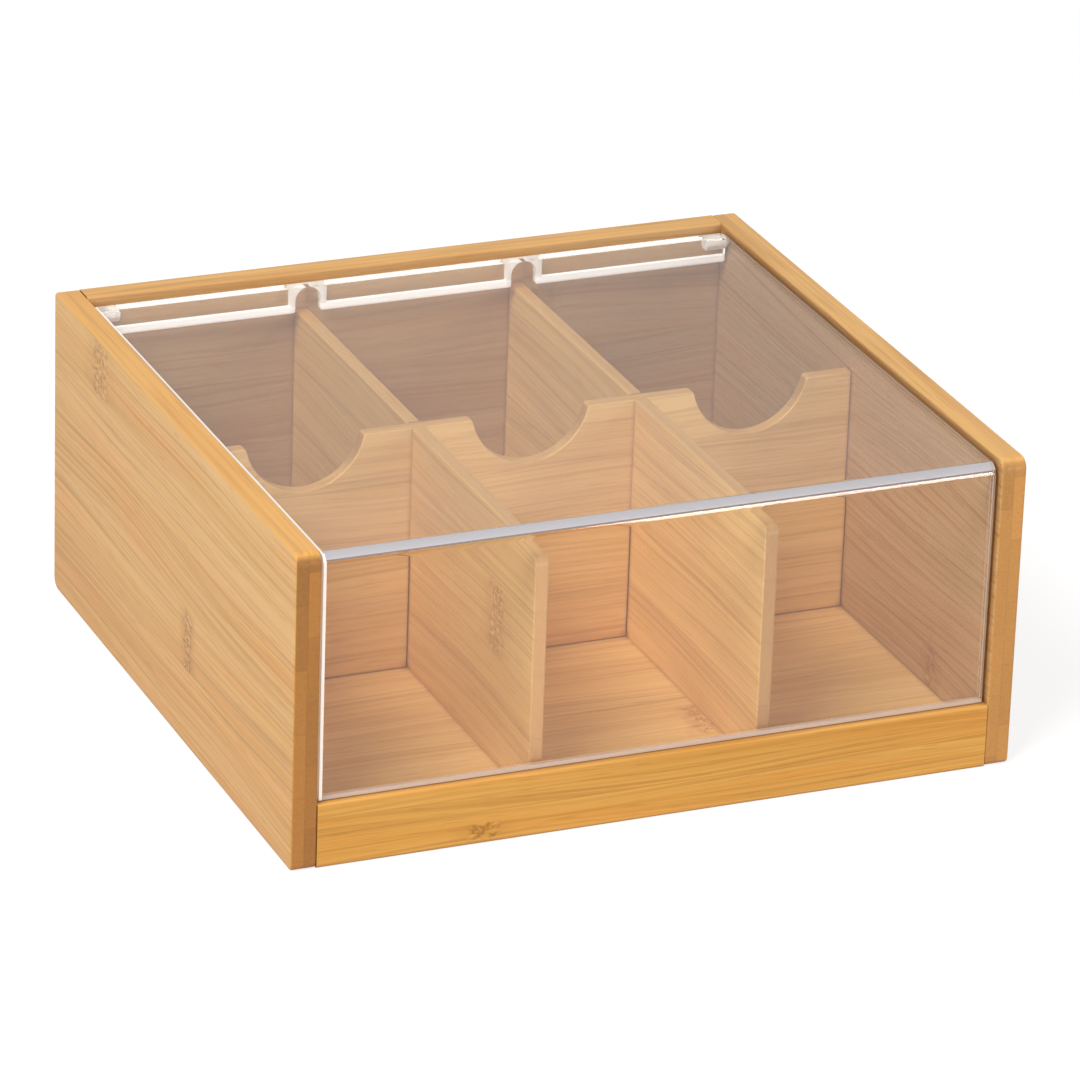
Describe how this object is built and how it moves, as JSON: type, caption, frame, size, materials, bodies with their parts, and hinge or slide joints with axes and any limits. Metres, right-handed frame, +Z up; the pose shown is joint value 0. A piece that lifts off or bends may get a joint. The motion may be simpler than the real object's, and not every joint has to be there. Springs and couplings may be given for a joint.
{
  "type": "tea bag organizer box",
  "caption": "Bamboo tea bag box with pockets formed by crossing dividers, finger scoops, and a clear hinged lid that covers the top and the front.",
  "frame": {"origin": "centre of the footprint, on the surface that the box stands on", "axes": "+X to the box's right seen from the front, +Y from the front rail to the back panel, +Z up"},
  "size_m": [0.215, 0.2, 0.093],
  "materials": {
    "bamboo_board": "laminated bamboo, sanded and clear lacquered, satin",
    "bamboo_panel": "thin laminated bamboo panel, sanded, satin",
    "bamboo_divider": "thin laminated bamboo, sanded, satin",
    "clear_acrylic": "clear moulded acrylic, polished"
  },
  "bodies": {
    "box": {"left_side": "bamboo_board", "right_side": "bamboo_board", "back_panel": "bamboo_board", "front_rail": "bamboo_board", "bottom_panel": "bamboo_panel", "left_divider": "bamboo_divider", "right_divider": "bamboo_divider", "cross_divider": "bamboo_divider"},
    "lid": {"lid": "clear_acrylic"}
  },
  "joints": [
    {"name": "lid_hinge", "type": "hinge", "parent": "box", "child": "lid", "pos_m": [0, 0.08815, 0.0881], "axis": [-1, 0, 0], "range_deg": [0, 101]}
  ]
}
